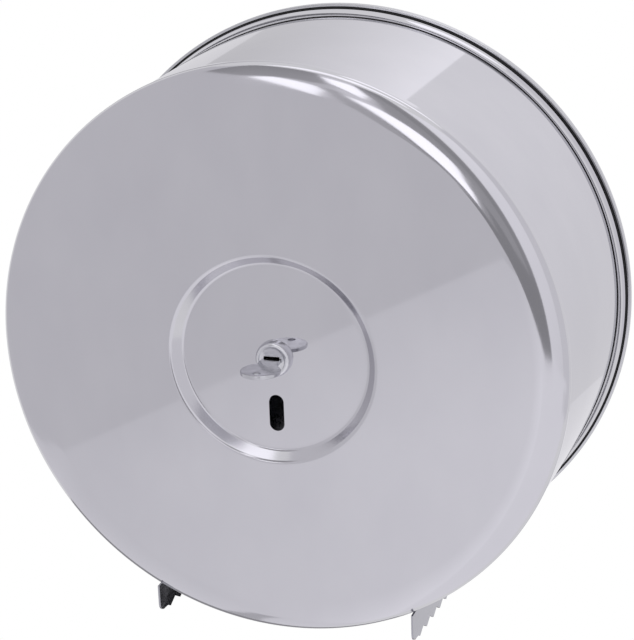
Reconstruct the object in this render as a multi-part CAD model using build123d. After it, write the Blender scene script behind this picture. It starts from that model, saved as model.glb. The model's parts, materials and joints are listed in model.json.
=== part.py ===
from build123d import *

# Round wall dispenser for one jumbo toilet roll: a polished steel drum that sits over a
# back plate and is held by one central key lock.  All sizes are in millimetres.
#
# Frame: the origin is the centre of the back plate's wall face, on the drum's axis.
# +Y runs into the wall, so the front of the dispenser is at -Y, and +Z is up.
# "Depth" below is the distance from the wall, so a depth d lies at y = -d.

import os
from math import acos, asin, atan, atan2, degrees, radians, sin, sqrt, tan

# ---------------------------------------------------------------- driving sizes

# Back plate
rim_overhang = 2.7          # the rim stands out this far past the drum's flared edge
plate_sheet = 1.0           # plate thickness
rim_height = 4.0            # wall face to the rim's front edge
rim_hem = 1.4               # thickness of the hemmed rim
rim_corner = 0.8            # rounding of the rim's rear and front corners
wall_hole_radius = 3.25     # four holes for the wall screws
wall_hole_across = 160.0    # hole spacing along X
wall_hole_up = 120.0        # hole spacing along Z

# Rubber seal inside the rim
seal_height = 0.5           # proud of the rim's front edge
seal_width = 2.8            # radial

# Cover: drum wall and front pan
pan_radius = 146.5          # over the pan's skirt
drum_depth = 133.5          # wall face to the flat front face
cover_sheet = 0.8           # cover thickness
shoulder_radial = 16.5      # soft shoulder between face and skirt, measured radially
shoulder_axial = 6.0        # the same, along the axis
skirt_depth = 9.5           # front face to the skirt's rear edge
skirt_lap = 3.0             # how far the wall runs under the skirt
lap_gap = 0.1               # radial gap between skirt and wall
wall_spread = 4.7           # the wall's radius grows this much from the skirt to the flare
flare_radius = 6.5          # bend of the outward flare at the wall's rear edge
flare_rise = 2.0            # the flare's edge stands out this far
cover_gap = 0.2             # seal to flare, with the cover on

# Round recess in the front face
recess_mouth = 53.0         # radius of the recess's edge at the face
recess_base = 48.5          # radius of the recess's edge at its floor
recess_depth = 5.0
recess_lip = 2.4            # rounding at the face
recess_foot = 1.8           # rounding at the floor

# Paper level window
window_width = 7.7
window_height = 19.0
window_drop = 28.8          # drum axis to the window's centre

# Paper exit and its two cutters
exit_half_width = 68.0      # drum axis to each cutter's paper side
exit_setback = 10.5         # front face to the exit's front edge
exit_rear_depth = 18.6      # wall face to the exit's rear edge
exit_corner = 1.5
lip_rise = 1.7              # the exit's front lip stands out this far past the skirt
lip_bead = 0.85             # radius of the lip's rolled edge
lip_gap = 0.5               # lip to each cutter
cutter_sheet = 1.0
cutter_gap = 0.15           # cutter to the exit's side edge, and to the drum wall
cutter_flange = 15.0        # width of the riveted flange
cutter_front_inset = 5.4    # exit's front edge to the riveted plate
cutter_rear_inset = 2.0     # riveted plate to the exit's rear edge
cutter_reach = 19.0         # wall to the first tooth's tip
tooth_pitch = 13.3
tooth_height = 4.0
tooth_setback = 4.6         # exit's front edge to the first tooth's tip
heel_gap = 3.4              # first tooth's tip to the rise in front of it
heel_rise = 2.0
edge_drop = 0.095           # the toothed edge drops this much per millimetre to the rear
tongue_setback = 2.0        # front face to the tongue's front edge
tongue_rise = 2.8           # first tooth's tip to the tongue's lowest edge
tongue_corner = 5.0
tongue_gap = 0.5            # skirt to the tongue that reaches under it
cutter_rivet_radius = 1.6
rivet_head = 0.9            # height of the head and of the tail
rivet_tail_radius = 2.6

# Lock
bezel_radius = 9.2
bezel_front_radius = 7.4
bezel_height = 4.2          # recess floor to the lock's face
bezel_edge = 0.9            # straight edge at the bezel's foot
bezel_groove = 0.5          # dark ring around the plug's face, radially
bezel_groove_depth = 1.0
barrel_radius = 8.0         # threaded body
barrel_flat = 7.2           # axis to each of the body's two flats
barrel_length = 16.0        # recess floor to the barrel's rear end
barrel_end = 1.5            # thickness of the barrel's rear wall
plug_radius = 6.4
plug_shank = 4.0            # radius of the plug's shank behind the barrel
fit_gap = 0.06              # radial running clearance
keyway_width = 8.2
keyway_height = 3.2
keyway_lift = 0.5           # the keyway's middle is this far above the blade's
wafer_count = 5
wafer_sheet = 1.0
wafer_pitch = 2.4
wafer_start = 3.2           # lock face to the first wafer
wafer_width = 5.0
wafer_gap = 0.06            # wafer to its slot, each side
lock_nut_flats = 22.0
lock_nut_height = 4.0
washer_radius = 12.0
washer_sheet = 0.8
washer_teeth = 12
washer_notch = 1.6          # notch between two teeth: its width and its depth
stud_radius = 2.5           # threaded end that carries the cam nut
stud_proud = 0.6            # stud's end past the nut
square_side = 5.0           # square that drives the cam
square_turned = 3.2         # the square's corners are turned down to this radius
cam_length = 20.0
cam_width = 7.0
cam_sheet = 2.0
cam_nut_flats = 8.0
cam_nut_height = 2.7
cam_washer_radius = 4.4

# Key
key_sheet = 2.0
bow_half_width = 9.9
bow_half_length = 9.6
bow_standoff = 16.3         # lock face to the bow's centre
bow_hole_radius = 2.0
bow_hole_edge = 2.0         # metal between the hole and the bow's end
bow_edge = 0.5              # rounding of the bow's edges
neck_width = 9.4
neck_gap = 0.6              # lock face to the neck
blade_width = 7.6
blade_length = 15.5         # inside the lock
blade_tip = 1.9             # slope at each corner of the blade's tip
notch_depth = 1.1           # cuts in the blade's edge, one for each wafer
notch_land = 0.2            # edge left between two cuts

# Spindle and keeper
axle_radius = 10.0
keeper_gap = 1.5            # barrel's rear end to the keeper
keeper_radius = 17.0
keeper_length = 17.0
keeper_lip = 1.5            # thickness of the slotted front that the cam turns behind
keeper_wall = 2.0           # side wall and floor
cam_gap = 0.8               # lip to cam
slot_gap = 1.0              # cam to the slot's edges
screw_radius = 4.0
screw_length = 20.0
screw_head_radius = 6.5
screw_head_height = 5.0
screw_socket_flats = 6.0
screw_socket_depth = 3.0
flange_radius = 40.0
flange_sheet = 2.0
collar_radius = 14.0
collar_depth = 14.0         # wall face to the collar's front end
collar_fillet = 3.0
rivet_circle = 30.0
rivet_radius = 2.0
rivet_head_radius = 4.0
rivet_head_height = 1.8
rivet_count = 4

# Roll hub
hub_radius = 27.5           # fits a 60 mm core
hub_wall = 2.5
hub_flange_radius = 48.0
hub_flange_sheet = 2.6
hub_flange_edge = 1.0       # rounding of the flange's edge
hub_boss_wall = 2.5
hub_ribs = 6
rib_sheet = 2.0
bush_wall = 2.9
bush_length = 12.0
thrust_sheet = 1.0
thrust_gap = 0.2

# Brackets on the back plate that centre the cover
tab_width = 20.0
tab_sheet = 1.5
tab_gap = 0.6               # bracket to the drum wall
tab_reach = 12.0            # how far a bracket runs inside the straight wall
tab_foot = 22.0
tab_bend = 2.5
tab_angles = (45.0, 135.0, 225.0, 315.0)
guide_width = 36.0
stop_width = 10.0
stop_height = 4.0
stop_length = 13.0
stop_gap = 0.6              # lug to the sides of the guide's notch
stop_setback = 0.4          # flare to the lug's rear end
stop_float = 1.6            # lug's rear end to the notch's floor

tool_overrun = 4.0          # cutting tools reach this far past the sheet that they cut

# ---------------------------------------------------------------- places worked out

face_y = -drum_depth
skirt_edge_y = face_y + skirt_depth
wall_front_y = skirt_edge_y - skirt_lap
wall_radius = pan_radius - cover_sheet - lap_gap
seal_front_y = -(rim_height + seal_height)
flare_turn = acos(1 - flare_rise / flare_radius)
flare_start_y = seal_front_y - cover_gap - (flare_radius + cover_sheet) * sin(flare_turn)
wall_slope = wall_spread / (flare_start_y - skirt_edge_y)
rim_radius = wall_radius + wall_spread + flare_rise + rim_overhang
floor_y = face_y + recess_depth
floor_back_y = floor_y + cover_sheet

exit_rear_y = -exit_rear_depth
exit_front_y = face_y + exit_setback
exit_length = exit_rear_y - exit_front_y
cutter_front_y = exit_front_y + cutter_front_inset
cutter_rear_y = exit_rear_y - cutter_rear_inset
first_tooth_y = exit_front_y + tooth_setback
tooth_count = int((cutter_rear_y - first_tooth_y) / tooth_pitch) + 1
stop_rear_y = flare_start_y - stop_setback

lock_face_y = floor_y - bezel_height
barrel_rear_y = floor_y + barrel_length
keeper_front_y = barrel_rear_y + keeper_gap
lip_back_y = keeper_front_y + keeper_lip
cam_front_y = lip_back_y + cam_gap
cam_back_y = cam_front_y + cam_sheet
keeper_back_y = keeper_front_y + keeper_length
cup_floor_y = keeper_back_y - keeper_wall

plate_y = -plate_sheet
flange_y = plate_y - flange_sheet
collar_y = -collar_depth
hub_rear_y = collar_y - thrust_sheet - 2 * thrust_gap
hub_front_y = keeper_back_y + thrust_sheet + 2 * thrust_gap
bush_radius = axle_radius + fit_gap + bush_wall
boss_radius = bush_radius + hub_boss_wall


# ---------------------------------------------------------------- helpers

def turned(section):
    """Solid of revolution about the drum's axis from a section drawn as (radius, y)."""
    return revolve(section, Axis.Y)


def ring(inner, outer, y_front, y_back):
    """Plain ring or disc about the drum's axis."""
    middle = Pos((inner + outer) / 2, (y_front + y_back) / 2)
    return turned(middle * Rectangle(outer - inner, y_back - y_front))


def block(x_low, x_high, y_low, y_high, z_low, z_high):
    """Box given by its two corners on each axis."""
    centre = Pos((x_low + x_high) / 2, (y_low + y_high) / 2, (z_low + z_high) / 2)
    return centre * Box(x_high - x_low, y_high - y_low, z_high - z_low)


def along_axis(sketch, y_front, y_back):
    """Sketch in X and Z, made into a solid between two places on the drum's axis."""
    plane = Plane(origin=(0, y_back, 0), x_dir=(1, 0, 0), z_dir=(0, -1, 0))
    return extrude(plane * sketch, y_back - y_front)


def hex_nut(flats, y_front, y_back, bore):
    """Six-sided nut with turned-down corners."""
    corner = flats / sqrt(3)
    chamfer_depth = corner - flats / 2
    body = along_axis(RegularPolygon(flats / 2, 6, major_radius=False), y_front, y_back)
    outline = Polyline(
        (0, y_front), (flats / 2, y_front), (corner, y_front + chamfer_depth),
        (corner, y_back - chamfer_depth), (flats / 2, y_back), (0, y_back), close=True)
    return (body & turned(make_face(outline))) - ring(0, bore, y_front, y_back)


def domed_rivet(radius, head_radius, head_height, length):
    """Rivet along +Z: shank from z = -length to 0 and a domed head above z = 0."""
    shank = Pos(0, 0, -length / 2) * Cylinder(radius, length)
    sphere = (head_radius ** 2 + head_height ** 2) / (2 * head_height)
    dome = Pos(0, 0, head_height - sphere) * Sphere(sphere)
    return shank + (dome & (Pos(0, 0, head_height / 2) * Cylinder(head_radius, head_height)))


def drop_at(radius, x):
    """How far below the axis a circle of this radius lies, at x from the axis."""
    return sqrt(radius ** 2 - x ** 2)


def wall_at(y):
    """Outside radius of the tapered drum wall at a place on the axis."""
    return wall_radius + wall_slope * (y - skirt_edge_y)


def wall_inside(y):
    return wall_at(y) - cover_sheet


def lining(gap, sheet, y_front, y_back):
    """Tapered ring inside the drum wall, with a gap to it."""
    front = wall_inside(y_front) - gap
    back = wall_inside(y_back) - gap
    return turned(make_face(Polyline(
        (front, y_front), (back, y_back), (back - sheet, y_back), (front - sheet, y_front),
        close=True)))


# ---------------------------------------------------------------- back plate and seal

def make_back_plate():
    disc = ring(0, rim_radius, plate_y, 0)
    rim = ring(rim_radius - rim_hem, rim_radius, -rim_height, 0)
    plate = disc + rim
    outer = [e for e in plate.edges() if abs(e.bounding_box().max.X - rim_radius) < 0.01]
    plate = fillet(outer, rim_corner)
    holes = GridLocations(wall_hole_across, wall_hole_up, 2, 2)
    punch = along_axis(Sketch() + [spot * Circle(wall_hole_radius) for spot in holes], plate_y, 0)
    return plate - punch - spindle_rivet_holes()


def make_rim_seal():
    outer = rim_radius - rim_hem
    lip = seal_width / 2
    centre_y = seal_front_y + lip
    body = Pos(outer - lip, (centre_y + plate_y) / 2) * Rectangle(seal_width, plate_y - centre_y)
    return turned(body + Pos(outer - lip, centre_y) * Circle(lip))


# ---------------------------------------------------------------- spindle and keeper

def rivet_places():
    return [Rot(0, 45 + turn * 360 / rivet_count, 0) * Pos(0, 0, rivet_circle)
            for turn in range(rivet_count)]


def spindle_rivet_holes():
    hole = Rot(90, 0, 0) * Cylinder(
        rivet_radius + fit_gap, 2 * (plate_sheet + flange_sheet + tool_overrun))
    return Part() + [place * hole for place in rivet_places()]


def make_spindle_flange():
    bore = axle_radius + fit_gap
    section = make_face(Polyline(
        (bore, plate_y), (flange_radius, plate_y), (flange_radius, flange_y),
        (collar_radius, flange_y), (collar_radius, collar_y), (bore, collar_y), close=True))
    inside = section.vertices().sort_by_distance((collar_radius, flange_y, 0))[0]
    return turned(fillet(inside, collar_fillet)) - spindle_rivet_holes()


def make_spindle_rivets():
    rivet = Rot(90, 0, 0) * domed_rivet(
        rivet_radius, rivet_head_radius, rivet_head_height, plate_sheet + flange_sheet)
    return Part() + [place * Pos(0, flange_y, 0) * rivet for place in rivet_places()]


def make_spindle_axle():
    bar = ring(0, axle_radius, keeper_back_y, plate_y)
    tapped = ring(0, screw_radius + fit_gap, keeper_back_y, keeper_back_y + screw_length)
    return bar - tapped


def keeper_slot():
    """Opening in the keeper's lip that the cam passes through when it lies level."""
    bar = Rectangle(cam_length + 2 * slot_gap, cam_width + 2 * slot_gap)
    return along_axis(bar + Circle(plug_radius), keeper_front_y, lip_back_y)


def make_keeper_cup():
    cup = ring(0, keeper_radius, keeper_front_y, keeper_back_y)
    hollow = ring(0, keeper_radius - keeper_wall, lip_back_y, cup_floor_y)
    screw_hole = ring(0, screw_radius + fit_gap, cup_floor_y, keeper_back_y)
    return cup - hollow - screw_hole - keeper_slot()


def make_keeper_screw():
    head_y = cup_floor_y - screw_head_height
    head = ring(0, screw_head_radius, head_y, cup_floor_y)
    shank = ring(0, screw_radius, cup_floor_y, cup_floor_y + screw_length)
    socket = along_axis(RegularPolygon(screw_socket_flats / 2, 6, major_radius=False),
                        head_y, head_y + screw_socket_depth)
    return head + shank - socket


def make_rear_thrust_washer():
    middle = collar_y - thrust_gap
    return ring(axle_radius + fit_gap, collar_radius, middle - thrust_sheet, middle)


def make_front_thrust_washer():
    middle = keeper_back_y + thrust_gap
    return ring(axle_radius + fit_gap, collar_radius, middle, middle + thrust_sheet)


# ---------------------------------------------------------------- brackets for the cover

def bracket(width):
    """L-shaped strip at the top of the plate: foot on the plate, arm inside the drum wall."""
    arm_y = flare_start_y - tab_reach
    arm_z = drop_at(wall_inside(arm_y) - tab_gap, width / 2)
    section = make_face(Polyline(
        (plate_y, arm_z - tab_foot), (plate_y, arm_z), (arm_y, arm_z),
        (arm_y, arm_z - tab_sheet), (plate_y - tab_sheet, arm_z - tab_sheet),
        (plate_y - tab_sheet, arm_z - tab_foot), close=True))
    outer = section.vertices().sort_by_distance((plate_y, arm_z, 0))[0]
    section = fillet(outer, tab_bend)
    inner = section.vertices().sort_by_distance((plate_y - tab_sheet, arm_z - tab_sheet, 0))[0]
    section = fillet(inner, tab_bend - tab_sheet)
    return extrude(Plane.YZ * section, width / 2, both=True)


def make_locating_tabs():
    return Part() + [Rot(0, angle, 0) * bracket(tab_width) for angle in tab_angles]


def make_turn_guide():
    half = stop_width / 2 + stop_gap
    notch = block(-half, half, face_y, stop_rear_y + stop_float, 0, rim_radius)
    return bracket(guide_width) - notch


def make_turn_stop():
    front = stop_rear_y - stop_length
    half = stop_width / 2
    return lining(0, stop_height, front, stop_rear_y) & block(
        -half, half, front, stop_rear_y, 0, rim_radius)


# ---------------------------------------------------------------- roll hub

def make_core_hub():
    bore = bush_radius + fit_gap
    shell = ring(hub_radius - hub_wall, hub_radius, hub_front_y, hub_rear_y)
    boss = ring(bore, boss_radius, hub_front_y, hub_rear_y)
    flange = ring(bore, hub_flange_radius, hub_rear_y - hub_flange_sheet, hub_rear_y)
    rib = block(bore + hub_boss_wall / 2, hub_radius - hub_wall / 2,
                hub_front_y + hub_wall, hub_rear_y, -rib_sheet / 2, rib_sheet / 2)
    ribs = [Rot(0, turn * 360 / hub_ribs, 0) * rib for turn in range(hub_ribs)]
    hub = shell + boss + flange + ribs
    lip = [e for e in hub.edges() if abs(e.bounding_box().max.X - hub_flange_radius) < 0.01]
    return fillet(lip, hub_flange_edge)


def make_rear_bush():
    return ring(axle_radius + fit_gap, bush_radius, hub_rear_y - bush_length, hub_rear_y)


def make_front_bush():
    return ring(axle_radius + fit_gap, bush_radius, hub_front_y, hub_front_y + bush_length)


# ---------------------------------------------------------------- cover

def pan_surface(inset):
    """Front pan's skin, inset behind its front surface, from the axis to the skirt's edge."""
    turn = atan2(recess_depth, recess_mouth - recess_base)
    shift = inset * tan(turn / 2)
    front = face_y + inset
    shoulder = pan_radius - shoulder_radial
    step = FilletPolyline(
        (0, front + recess_depth), (recess_base + shift, front + recess_depth),
        (recess_mouth + shift, front), (shoulder, front),
        radius=[recess_foot + inset, recess_lip - inset])
    crown = EllipticalCenterArc(
        (shoulder, face_y + shoulder_axial), shoulder_radial - inset, shoulder_axial - inset,
        start_angle=270, arc_size=90)
    skirt = Line((pan_radius - inset, face_y + shoulder_axial), (pan_radius - inset, skirt_edge_y))
    return step + crown + skirt


def make_front_pan():
    outside = pan_surface(0)
    inside = pan_surface(cover_sheet)
    axis_end = Line((0, floor_y), (0, floor_back_y))
    skirt_end = Line((pan_radius, skirt_edge_y), (pan_radius - cover_sheet, skirt_edge_y))
    skin = turned(make_face(outside + inside + axis_end + skirt_end))
    return skin - lock_hole() - level_window()


def lock_hole():
    round_hole = barrel_radius + fit_gap
    flats = Rectangle(2 * (barrel_flat + fit_gap), 2 * round_hole)
    return along_axis(Circle(round_hole) & flats, face_y, floor_back_y + tool_overrun)


def level_window():
    slot = Rot(0, 0, 90) * SlotOverall(window_height, window_width)
    return along_axis(Pos(0, -window_drop) * slot, face_y, floor_back_y + tool_overrun)


def make_drum_wall():
    rear = wall_at(flare_start_y)
    centre = (rear + flare_radius, flare_start_y)
    arc_start = 180 - degrees(flare_turn)
    outside = CenterArc(centre, flare_radius, arc_start, degrees(flare_turn))
    inside = CenterArc(centre, flare_radius + cover_sheet, arc_start, degrees(flare_turn))
    front = wall_at(wall_front_y)
    lines = [
        Line((front, wall_front_y), (rear, flare_start_y)),
        Line((front - cover_sheet, wall_front_y), (rear - cover_sheet, flare_start_y)),
        Line((front, wall_front_y), (front - cover_sheet, wall_front_y)),
        Line(outside @ 0, inside @ 0),
    ]
    drum = turned(make_face(outside + inside + lines)) - paper_exit() - cutter_rivet_holes()
    return drum + exit_lip()


def exit_lip():
    """Outward fold with a rolled edge at the exit's front edge, between the two cutters."""
    root = wall_inside(exit_front_y)
    bead_radius = pan_radius + lip_rise - lip_bead
    middle_y = exit_front_y - cover_sheet / 2
    fold = Pos((root + bead_radius) / 2, middle_y) * Rectangle(bead_radius - root, cover_sheet)
    half = exit_half_width - lip_gap
    return turned(fold + Pos(bead_radius, middle_y) * Circle(lip_bead)) & block(
        -half, half, face_y, 0, -rim_radius, 0)


def paper_exit():
    """Cuts the opening through the lowest part of the drum wall."""
    half_width = exit_half_width + cutter_sheet + cutter_gap
    opening = Pos(0, exit_rear_y - exit_length / 2) * RectangleRounded(
        2 * half_width, exit_length, exit_corner)
    return extrude(Plane.XY.offset(-rim_radius) * opening, rim_radius / 2)


# ---------------------------------------------------------------- cutters

def cutter_outline():
    """Toothed plate as (y, z): up the front tongue, along the top and back by the teeth."""
    bent_edge = cutter_gap + cutter_sheet / 2
    front_z = -drop_at(wall_inside(cutter_front_y) - bent_edge, exit_half_width)
    rear_z = -drop_at(wall_inside(cutter_rear_y) - bent_edge, exit_half_width)
    tongue_z = -drop_at(pan_radius, exit_half_width) - tongue_gap
    tongue_y = face_y + tongue_setback
    first_z = -drop_at(wall_radius, exit_half_width) - cutter_reach
    corner = (tongue_y, first_z + tongue_rise)
    points = [corner, (tongue_y, tongue_z), (cutter_front_y, tongue_z),
              (cutter_front_y, front_z), (cutter_rear_y, rear_z)]
    last = tooth_count - 1
    points.append((cutter_rear_y, first_z - edge_drop * last * tooth_pitch + tooth_height / 2))
    for tooth in range(last, -1, -1):
        tip_y = first_tooth_y + tooth * tooth_pitch
        tip_z = first_z - edge_drop * tooth * tooth_pitch
        points.append((tip_y, tip_z))
        if tooth > 0:
            points.append((tip_y - tooth_pitch / 2, tip_z + tooth_height))
    points.append((first_tooth_y - heel_gap, first_z + heel_rise))
    face = make_face(Polyline(*points, close=True))
    front_corner = face.vertices().sort_by_distance((*corner, 0))[0]
    return fillet(front_corner, tongue_corner)


def flange_radius_in_drum():
    return wall_inside(cutter_front_y) - cutter_gap


def flange_angle(width):
    """Angle from straight down to a place this far out along the cutter's flange."""
    radius = flange_radius_in_drum()
    return asin(exit_half_width / radius) + width / radius


def cutter_rivet_places():
    front = cutter_front_y + cutter_flange
    rear = cutter_rear_y - cutter_flange
    turn = Rot(0, 180 - degrees(flange_angle(cutter_flange / 2)), 0)
    lean = Rot(degrees(atan(wall_slope)), 0, 0)
    return [turn * Pos(0, y, wall_at(y)) * lean for y in (front, (front + rear) / 2, rear)]


def cutter_rivet_holes():
    hole = Cylinder(cutter_rivet_radius + fit_gap, 2 * (cutter_sheet + tool_overrun))
    right = Part() + [place * hole for place in cutter_rivet_places()]
    return right + mirror(right, Plane.YZ)


def make_right_cutter():
    band = lining(cutter_gap, cutter_sheet, cutter_front_y, cutter_rear_y)
    far_x = flange_radius_in_drum() * sin(flange_angle(cutter_flange))
    flange = band & block(exit_half_width, far_x, face_y, 0, -rim_radius, 0)
    plate = extrude(Plane.YZ.offset(exit_half_width) * cutter_outline(), cutter_sheet)
    return flange + plate - cutter_rivet_holes()


def make_left_cutter():
    return mirror(make_right_cutter(), Plane.YZ)


def make_cutter_rivets():
    grip = cover_sheet + cutter_gap + cutter_sheet + fit_gap
    tail = Pos(0, 0, -grip - rivet_head / 2) * Cylinder(rivet_tail_radius, rivet_head)
    rivet = domed_rivet(cutter_rivet_radius, 2 * cutter_rivet_radius, rivet_head, grip) + tail
    right = Part() + [place * rivet for place in cutter_rivet_places()]
    return right + mirror(right, Plane.YZ)


# ---------------------------------------------------------------- lock

def make_lock_barrel():
    bore = plug_radius + fit_gap
    foot_y = floor_y - bezel_edge
    rise = Line((bore, floor_y), (bore, lock_face_y))
    front = Line((bore, lock_face_y), (bezel_front_radius, lock_face_y))
    dome = EllipticalCenterArc(
        (bezel_front_radius, foot_y), bezel_radius - bezel_front_radius, foot_y - lock_face_y,
        start_angle=270, arc_size=90)
    edge = Polyline((bezel_radius, foot_y), (bezel_radius, floor_y), (bore, floor_y))
    bezel = turned(make_face(rise + front + dome + edge))
    body = ring(0, barrel_radius, floor_y, barrel_rear_y)
    body &= block(-barrel_flat, barrel_flat, floor_y, barrel_rear_y, -barrel_radius, barrel_radius)
    body -= ring(0, bore, floor_y, barrel_rear_y - barrel_end)
    body -= ring(0, plug_shank + fit_gap, barrel_rear_y - barrel_end, barrel_rear_y)
    groove = ring(bore, bore + bezel_groove, lock_face_y, lock_face_y + bezel_groove_depth)
    return bezel + body - groove


def make_lock_washer():
    """Toothed washer between the recess floor and the lock's nut."""
    disc = ring(barrel_radius + fit_gap, washer_radius, floor_back_y, floor_back_y + washer_sheet)
    notch = block(-washer_notch / 2, washer_notch / 2, floor_back_y, floor_back_y + washer_sheet,
                  washer_radius - washer_notch, washer_radius + washer_notch)
    notches = [Rot(0, turn * 360 / washer_teeth, 0) * notch for turn in range(washer_teeth)]
    return disc - notches


def make_lock_nut():
    front = floor_back_y + washer_sheet
    return hex_nut(lock_nut_flats, front, front + lock_nut_height, barrel_radius + fit_gap)


def wafer_depths():
    return [lock_face_y + wafer_start + turn * wafer_pitch for turn in range(wafer_count)]


def key_path(margin, y_front, y_back):
    """Straight passage for the key's blade, a margin larger than the keyway."""
    hole = Rectangle(keyway_width + 2 * margin, keyway_height + 2 * margin)
    return along_axis(Pos(0, keyway_lift) * hole, y_front, y_back)


def make_lock_plug():
    plug_rear_y = barrel_rear_y - barrel_end - fit_gap
    body = ring(0, plug_radius, lock_face_y + fit_gap, plug_rear_y)
    body -= key_path(0, lock_face_y, lock_face_y + blade_length + neck_gap)
    for y in wafer_depths():
        body -= block(-plug_radius, plug_radius, y - wafer_gap, y + wafer_sheet + wafer_gap,
                      -wafer_width / 2 - wafer_gap, wafer_width / 2 + wafer_gap)
    shank = ring(0, plug_shank, plug_rear_y, cam_front_y)
    square = along_axis(Rectangle(square_side, square_side), cam_front_y, cam_back_y)
    square &= ring(0, square_turned, cam_front_y, cam_back_y)
    nut_back_y = cam_back_y + washer_sheet + cam_nut_height
    stud = ring(0, stud_radius, cam_back_y, nut_back_y + stud_proud)
    return body + shank + square + stud


def make_lock_wafers():
    half = drop_at(plug_radius, wafer_width / 2) - wafer_gap
    wafers = Part()
    for y in wafer_depths():
        plate = block(-half, half, y, y + wafer_sheet, -wafer_width / 2, wafer_width / 2)
        window = Rectangle(keyway_width, keyway_height)
        wafers += plate - along_axis(Pos(0, keyway_lift) * window, y, y + wafer_sheet)
    return wafers


def make_lock_cam():
    bar = SlotOverall(cam_length, cam_width)
    drive = Rectangle(square_side + 2 * fit_gap, square_side + 2 * fit_gap)
    return along_axis(bar - drive, cam_front_y, cam_back_y)


def make_cam_washer():
    return ring(stud_radius + fit_gap, cam_washer_radius, cam_back_y, cam_back_y + washer_sheet)


def make_cam_nut():
    front = cam_back_y + washer_sheet
    return hex_nut(cam_nut_flats, front, front + cam_nut_height, stud_radius + fit_gap)


# ---------------------------------------------------------------- key

def make_key():
    bow_y = lock_face_y - bow_standoff
    neck_y = lock_face_y - neck_gap
    tip_y = lock_face_y + blade_length
    hole_y = bow_y - bow_half_length + bow_hole_edge + bow_hole_radius
    half = key_sheet / 2
    bow = extrude(Pos(0, bow_y) * Ellipse(bow_half_width, bow_half_length), half, both=True)
    bow = fillet(bow.edges().filter_by(GeomType.ELLIPSE), bow_edge)
    neck = block(-neck_width / 2, neck_width / 2, bow_y, neck_y, -half, half)
    edge = blade_width / 2
    blade = make_face(Polyline(
        (-edge, bow_y), (edge, bow_y), (edge, tip_y - blade_tip), (edge - blade_tip, tip_y),
        (blade_tip - edge, tip_y), (-edge, tip_y - blade_tip), close=True))
    half_notch = (wafer_pitch - notch_land) / 2
    for y in wafer_depths():
        middle = y + wafer_sheet / 2
        blade -= make_face(Polyline(
            (edge - notch_depth, middle), (edge, middle - half_notch),
            (edge, middle + half_notch), close=True))
    hole = Pos(0, hole_y, 0) * Cylinder(bow_hole_radius, key_sheet + tool_overrun)
    return bow + neck + extrude(blade, half, both=True) - hole


# ---------------------------------------------------------------- write the parts

makers = {
    "back_plate": make_back_plate,
    "rim_seal": make_rim_seal,
    "locating_tabs": make_locating_tabs,
    "turn_guide": make_turn_guide,
    "spindle_flange": make_spindle_flange,
    "spindle_rivets": make_spindle_rivets,
    "spindle_axle": make_spindle_axle,
    "keeper_cup": make_keeper_cup,
    "keeper_screw": make_keeper_screw,
    "rear_thrust_washer": make_rear_thrust_washer,
    "front_thrust_washer": make_front_thrust_washer,
    "core_hub": make_core_hub,
    "rear_bush": make_rear_bush,
    "front_bush": make_front_bush,
    "front_pan": make_front_pan,
    "drum_wall": make_drum_wall,
    "turn_stop": make_turn_stop,
    "left_cutter": make_left_cutter,
    "right_cutter": make_right_cutter,
    "cutter_rivets": make_cutter_rivets,
    "lock_barrel": make_lock_barrel,
    "lock_washer": make_lock_washer,
    "lock_nut": make_lock_nut,
    "lock_plug": make_lock_plug,
    "lock_wafers": make_lock_wafers,
    "lock_cam": make_lock_cam,
    "cam_washer": make_cam_washer,
    "cam_nut": make_cam_nut,
    "key": make_key,
}

os.makedirs("parts", exist_ok=True)
for name, make in makers.items():
    export_step(make(), f"parts/{name}.step")
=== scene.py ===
import json
from math import acos, asin, atan2, cos, pi, radians, sin, tan

import bmesh
import bpy
from mathutils import Matrix, Vector
from mathutils.geometry import tessellate_polygon


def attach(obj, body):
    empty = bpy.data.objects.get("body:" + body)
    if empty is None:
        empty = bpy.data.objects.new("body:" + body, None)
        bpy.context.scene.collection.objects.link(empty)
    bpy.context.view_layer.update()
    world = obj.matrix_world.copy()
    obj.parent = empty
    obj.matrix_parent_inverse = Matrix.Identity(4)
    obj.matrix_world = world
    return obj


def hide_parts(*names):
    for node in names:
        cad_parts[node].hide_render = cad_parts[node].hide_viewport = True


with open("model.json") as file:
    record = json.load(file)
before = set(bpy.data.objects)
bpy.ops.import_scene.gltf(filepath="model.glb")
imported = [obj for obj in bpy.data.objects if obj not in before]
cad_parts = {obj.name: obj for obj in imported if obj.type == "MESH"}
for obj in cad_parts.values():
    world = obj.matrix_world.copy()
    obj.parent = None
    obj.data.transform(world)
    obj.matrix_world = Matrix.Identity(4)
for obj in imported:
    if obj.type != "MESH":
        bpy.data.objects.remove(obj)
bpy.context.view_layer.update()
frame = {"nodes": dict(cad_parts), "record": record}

# Jumbo toilet roll dispenser: fine sheet metal, finishes, small details, studio and camera.
# Blender's metres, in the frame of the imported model: the wall is at y = 0, the front face
# looks along -Y and +Z is up.  Sizes below are in millimetres and are made metres by MM.

MM = 0.001
LAMP_FAR = 30.0             # metres from the dispenser to the studio's cards
LAYER_GAP = 0.6             # metres between one layer of cards and the next
CARD_TINT = "FCFBFF"        # the studio's light is a touch violet
CARD_GAIN = 1.03            # and this makes up for what the tint takes
TURN_STEPS = 480            # steps round the drum

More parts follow.
